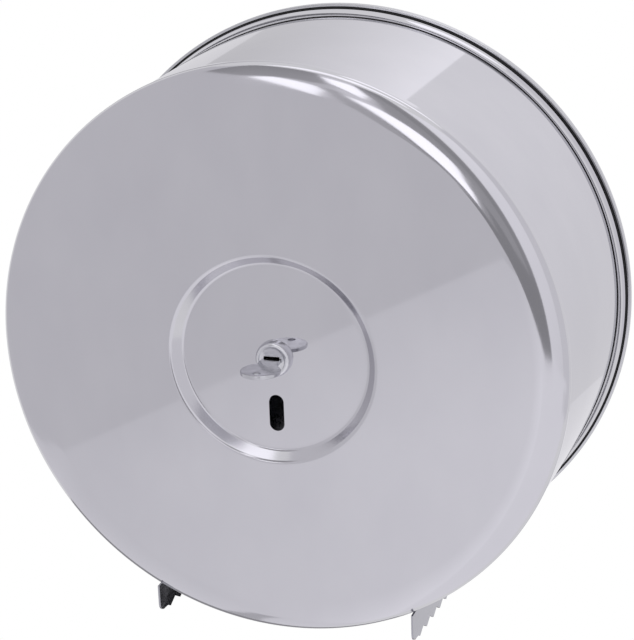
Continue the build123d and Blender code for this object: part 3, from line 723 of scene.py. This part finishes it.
def thread_tree():
    """Winds a round ridge along the barrel, cut off by the barrel's two flats."""
    tree, given = new_tree("barrel_thread", (
        "Core Radius", "Ridge Radius", "Length", "Pitch", "Flat", "Front"))
    turns = add(tree, "ShaderNodeMath", {
        0: given.outputs["Length"], 1: given.outputs["Pitch"]}, operation="DIVIDE")
    path = add(tree, "GeometryNodeCurveSpiral", {
        "Resolution": 72, "Rotations": turns, "Start Radius": given.outputs["Core Radius"],
        "End Radius": given.outputs["Core Radius"], "Height": given.outputs["Length"]})
    section = add(tree, "GeometryNodeCurvePrimitiveCircle", {
        "Resolution": 8, "Radius": given.outputs["Ridge Radius"]})
    ridge = add(tree, "GeometryNodeCurveToMesh", {
        "Curve": path, "Profile Curve": section, "Fill Caps": True})
    laid = add(tree, "GeometryNodeTransform", {
        "Geometry": ridge, "Rotation": (-pi / 2, 0, 0),
        "Translation": add(tree, "ShaderNodeCombineXYZ", {"Y": given.outputs["Front"]})})
    here = add(tree, "ShaderNodeSeparateXYZ", {"Vector": add(tree, "GeometryNodeInputPosition")})
    inner = add(tree, "ShaderNodeMath", {
        0: here.outputs["X"], 1: given.outputs["Flat"]}, operation="MINIMUM")
    other = add(tree, "ShaderNodeMath", {0: given.outputs["Flat"], 1: -1.0}, operation="MULTIPLY")
    between = add(tree, "ShaderNodeMath", {0: inner, 1: other}, operation="MAXIMUM")
    cut = add(tree, "GeometryNodeSetPosition", {
        "Geometry": laid, "Position": add(tree, "ShaderNodeCombineXYZ", {
            "X": between, "Y": here.outputs["Y"], "Z": here.outputs["Z"]})})
    close_tree(tree, cut, own_finishes["lock_barrel"])
    return tree


def make_barrel_thread():
    """Thread of the lock's barrel, from the cover's sheet to just short of its rear end."""
    sizes = {"Core Radius": (BARREL_RADIUS - THREAD_SUNK) * MM, "Ridge Radius": THREAD_RIDGE * MM,
             "Length": THREAD_LENGTH * MM, "Pitch": THREAD_PITCH * MM,
             "Flat": (BARREL_FLAT - THREAD_SUNK) * MM, "Front": THREAD_FRONT_Y * MM}
    thread = make_from_tree("lock_barrel_thread", [(0, 0, 0)], thread_tree(), sizes, "cover")
    for face in thread.data.polygons:
        face.use_smooth = True


# ---------------------------------------------------------------- studio


def direction(azimuth, elevation):
    """Unit vector away from the object: azimuth 0 is straight in front, 90 is to the right."""
    a = radians(azimuth)
    e = radians(elevation)
    return Vector((sin(a) * cos(e), -cos(a) * cos(e), sin(e)))


def card(name, strength, corners, layer=0, slope=None):
    """Studio card or lamp face far away, given by the directions of its corners.

    A higher layer lies in front of a lower one.  A card with a slope grows brighter towards
    that side of the room, by so much for each unit of direction.
    """
    distance = LAMP_FAR - LAYER_GAP * layer
    material, tree, place = new_material(name)
    glow = add(tree, "ShaderNodeEmission", {
        "Color": linear(CARD_TINT), "Strength": CARD_GAIN * strength})
    if slope is not None:
        graded = add(tree, "ShaderNodeVectorMath", {
            0: place, 1: [CARD_GAIN * s / distance for s in slope]}, operation="DOT_PRODUCT")
        level = add(tree, "ShaderNodeMath", {
            0: graded.outputs["Value"], 1: CARD_GAIN * strength}, operation="ADD")
        tree.links.new(level.outputs[0], glow.inputs["Strength"])
    add(tree, "ShaderNodeOutputMaterial", {"Surface": glow})
    shaped = bmesh.new()
    shaped.faces.new([shaped.verts.new(direction(*corner)) for corner in corners])
    bmesh.ops.triangulate(shaped, faces=shaped.faces)
    bmesh.ops.subdivide_edges(shaped, edges=shaped.edges, cuts=7, use_grid_fill=True)
    for vertex in shaped.verts:
        vertex.co = vertex.co.normalized() * distance
    mesh = bpy.data.meshes.new(name)
    shaped.to_mesh(mesh)
    shaped.free()
    mesh.materials.append(material)
    made = bpy.data.objects.new(name, mesh)
    bpy.context.scene.collection.objects.link(made)
    made.visible_camera = False


def light_studio():
    """Grey room at the left, white paper below, a strip lamp and the shade beside the lens.

    Corners are azimuth and elevation in degrees, as the steel mirrors them to the camera.
    """
    card("left_room", 0.757, [
        (-97, -10), (-91, -33), (-85, -29.5), (-60, -29.5), (-60, 57), (-97, 57)])
    card("left_room_middle", 0.757, [
        (-60, -29.5), (-40, -25.2), (-27.6, -21.6), (-27.6, 57), (-60, 57)])
    card("left_room_near", 0.757, [
        (-27.6, -21.6), (-12.07, -15.83), (0, -12.2), (4, -10), (4, 52), (-27.6, 57)])
    card("ceiling_shade", 0.57, [
        (-47, 43.5), (-24.5, 22), (-13, 21), (-10.5, 24), (-9, 45), (-12, 53), (-30, 57),
        (-46, 59)], layer=1, slope=(0.05, 0, -0.19))
    card("strip_lamp_left", 1.72, [
        (-22.5, 19), (-19, 20.8), (-13, 15.5), (-12.8, 11), (-15.2, 1.5)], layer=3)
    card("strip_lamp_upper", 1.75, [
        (-10, 43), (0.5, 43), (-1.5, 28), (-5.5, 18), (-9, 28)], layer=4)
    card("strip_lamp_fade", 1.0, [(-11, 50), (2, 50), (0.5, 43), (-10, 43)], layer=4)
    card("strip_lamp_gap", 0.95, [
        (-9.4, 22), (-5.5, 18), (-4, 13), (-5, 12.5), (-9.5, 13)], layer=3)
    card("strip_lamp_lower", 1.75, [
        (-9.5, 13), (-5, 12.5), (0, 8), (2, 3.5), (0.5, 0.5), (-1, -1.5), (-2.5, -5),
        (-5.5, -8.5), (-8.5, -4)], layer=4)
    card("lamp_frame", 0.55, [(-12.6, 16), (-10, 16), (-10, -8), (-12.6, -6)], layer=2)
    card("lens_shade", 0.46, [
        (1, 50), (13, 50), (14, 20), (16, -5), (16, -12), (0, -12), (-8, -9), (-12, -4),
        (-13, 2), (-10, 8), (-4, 13), (-1, 24)], layer=1)
    card("lens_shade_core", 0.38, [
        (4, 50), (9, 50), (13.5, 10), (14.8, -8), (10, -8), (9, 5), (5, 20)], layer=2)
    card("lens_foot", 0.35, [
        (-9, -9), (-4, -10), (0, -4), (3, -8), (8, -8), (15.5, -7), (16, -17), (5, -17.5),
        (-2, -15.5), (-8, -13)], layer=3)
    card("right_fill", 1.08, [
        (15, -18), (46, -18), (46, 44), (15, 44)], slope=(-0.1, 0, 0.18))
    card("right_room", 0.87, [(46, -26), (110, -26), (110, 56), (46, 50)])
    card("overhead_band", 1.7, [
        (2, 60), (8, 62), (22, 70), (24, 74), (16, 76), (4, 68)], layer=1)
    card("overhead_window", 1.6, [(96, 57), (135, 57), (175, 57), (175, 84), (96, 84)], layer=1)
    card("paper_left", 0.77, [
        (-91, -33), (-85, -29.5), (-60, -29.5), (-60, -80), (-100, -80), (-94, -50)],
        slope=(0, 0, -0.2))
    card("paper_left_middle", 0.77, [
        (-60, -29.5), (-40, -25.2), (-27.6, -21.56), (-27.6, -80), (-60, -80)],
        slope=(0, 0, -0.2))
    card("paper_middle", 1.07, [
        (-27.6, -21.56), (-12.07, -15.83), (0, -12.2), (0, -80), (-27.6, -80)],
        slope=(0.58, 0, -0.05))
    card("paper_right", 1.04, [(0, -12.2), (70, -18), (70, -80), (0, -80)])
    card("lamp_over_recess", 1.6, [
        (-46, 62), (-20, 62), (10, 58), (34, 56), (42, 62), (30, 69), (-10, 77), (-40, 72)],
        layer=0)
    card("paper_fold", 0.62, [
        (-85, -69), (-65, -67), (-50, -63), (-40, -58.5), (-31, -53), (-35, -51.5),
        (-50, -59), (-65, -62), (-85, -64)], layer=1)
    card("paper_shadow", 0.635, [
        (-27.6, -21.56), (-12.07, -15.83), (0, -12.2), (0, -20.4), (-12, -21.3),
        (-27.6, -22.4)], layer=1, slope=(0.68, 0, -1.3))
    card("shade_under_wall", 0.38, [
        (-86, -66), (-93, -40), (-120, -37), (-150, -36), (-176, -38), (-176, -74), (-130, -76),
        (-100, -72)], layer=1)
    card("room_behind", 0.835, [
        (135, -45), (180, -50), (225, -45), (225, 40), (180, 46), (135, 40)],
        slope=(0.16, 0, 0.25))
    card("light_behind", 1.115, [(177.3, 4), (225, 4), (225, 44), (176.6, 44)], layer=1,
         slope=(1.14, 0, 0))
    card("light_behind_low", 0.83, [
        (162, -22.8), (178, -22.5), (200, -20), (204, -30), (180, -33), (160, -33)], layer=1)


def shade_left_cutter():
    """Small dark card low behind the rim that only the left cutter's inner face mirrors: painted
    shade, in place of the shadow behind the dispenser.
    """
    material, tree, _ = new_material("painted_shade_behind_exit")
    # near-black diffuse colour: painted shade for the shadowed space behind the rim
    add(tree, "ShaderNodeOutputMaterial", {
        "Surface": add(tree, "ShaderNodeBsdfDiffuse", {"Color": linear("202022")})})
    mesh = bpy.data.meshes.new("painted_shade_behind_exit")
    left, right, bottom, top, behind = -0.095, 0.035, -0.27, -0.158, 0.05
    mesh.from_pydata([(x, behind, z) for x, z in (
        (left, bottom), (right, bottom), (right, top), (left, top))], [], [(0, 1, 2, 3)])
    mesh.materials.append(material)
    made = bpy.data.objects.new("painted_shade_behind_exit", mesh)
    bpy.context.scene.collection.objects.link(made)
    made.visible_camera = False


def make_floor():
    """Plain pale floor under the place where the dispenser hangs."""
    aside, front, rear, height = 2.6, -3.4, 0.8, -0.75
    mesh = bpy.data.meshes.new("floor")
    mesh.from_pydata([(x, y, height) for x, y in (
        (-aside, front), (aside, front), (aside, rear), (-aside, rear))], [], [(0, 1, 2, 3)])
    material, tree, place = new_material("pale_floor")
    mottled = add(tree, "ShaderNodeTexNoise", {
        "Vector": add(tree, "ShaderNodeMapping", {"Vector": place, "Scale": per_metre(300)}),
        "Scale": 1.0})
    colour = add(tree, "ShaderNodeMix", {
        0: mottled, 6: linear("EDEDEE"), 7: linear("F4F4F4")}, data_type="RGBA")
    shader = add(tree, "ShaderNodeBsdfPrincipled", {
        "Base Color": colour.outputs[2], "Roughness": 0.8})
    add(tree, "ShaderNodeOutputMaterial", {"Surface": shader})
    mesh.materials.append(material)
    made = bpy.data.objects.new("floor", mesh)
    bpy.context.scene.collection.objects.link(made)
    made.visible_glossy = False


def light_world():
    """White background for the camera and in reflections, softer light on the object."""
    world = bpy.data.worlds.new("studio")
    bpy.context.scene.world = world
    world.use_nodes = True
    tree = world.node_tree
    tree.nodes.clear()
    path = add(tree, "ShaderNodeLightPath")
    seen = add(tree, "ShaderNodeMath", {
        0: path.outputs["Is Camera Ray"], 1: path.outputs["Is Glossy Ray"]}, operation="MAXIMUM")
    seen = add(tree, "ShaderNodeMath", {
        0: seen, 1: path.outputs["Is Transmission Ray"]}, operation="MAXIMUM")
    strength = add(tree, "ShaderNodeMapRange", {"Value": seen, "To Min": 0.7, "To Max": 1.0})
    back = add(tree, "ShaderNodeBackground", {"Color": (1, 1, 1, 1), "Strength": strength})
    add(tree, "ShaderNodeOutputWorld", {"Surface": back})


def place_camera():
    """The photograph's viewpoint: right of the dispenser and above it, looking down."""
    azimuth = 18.643
    elevation = 17.899
    roll = radians(1.926)
    stand = Vector((297.7, -943.7, 299.1)) * MM
    data = bpy.data.cameras.new("camera")
    data.sensor_width = 36.0
    data.lens = 105.1
    camera = bpy.data.objects.new("camera", data)
    bpy.context.scene.collection.objects.link(camera)
    back = direction(azimuth, elevation)
    right = Vector((cos(radians(azimuth)), sin(radians(azimuth)), 0))
    up = back.cross(right)
    turned_right = cos(roll) * right - sin(roll) * up
    turned_up = sin(roll) * right + cos(roll) * up
    axes = Matrix((turned_right, turned_up, back)).transposed()
    camera.matrix_world = Matrix.Translation(stand) @ axes.to_4x4()
    bpy.context.scene.camera = camera


# ---------------------------------------------------------------- build the scene

dress_cad_nodes()
make_front_pan()
make_drum_wall()
make_back_plate()
make_spot_welds()
make_barrel_thread()
make_floor()
light_studio()
shade_left_cutter()
light_world()
place_camera()
bpy.context.scene.view_settings.view_transform = "Standard"
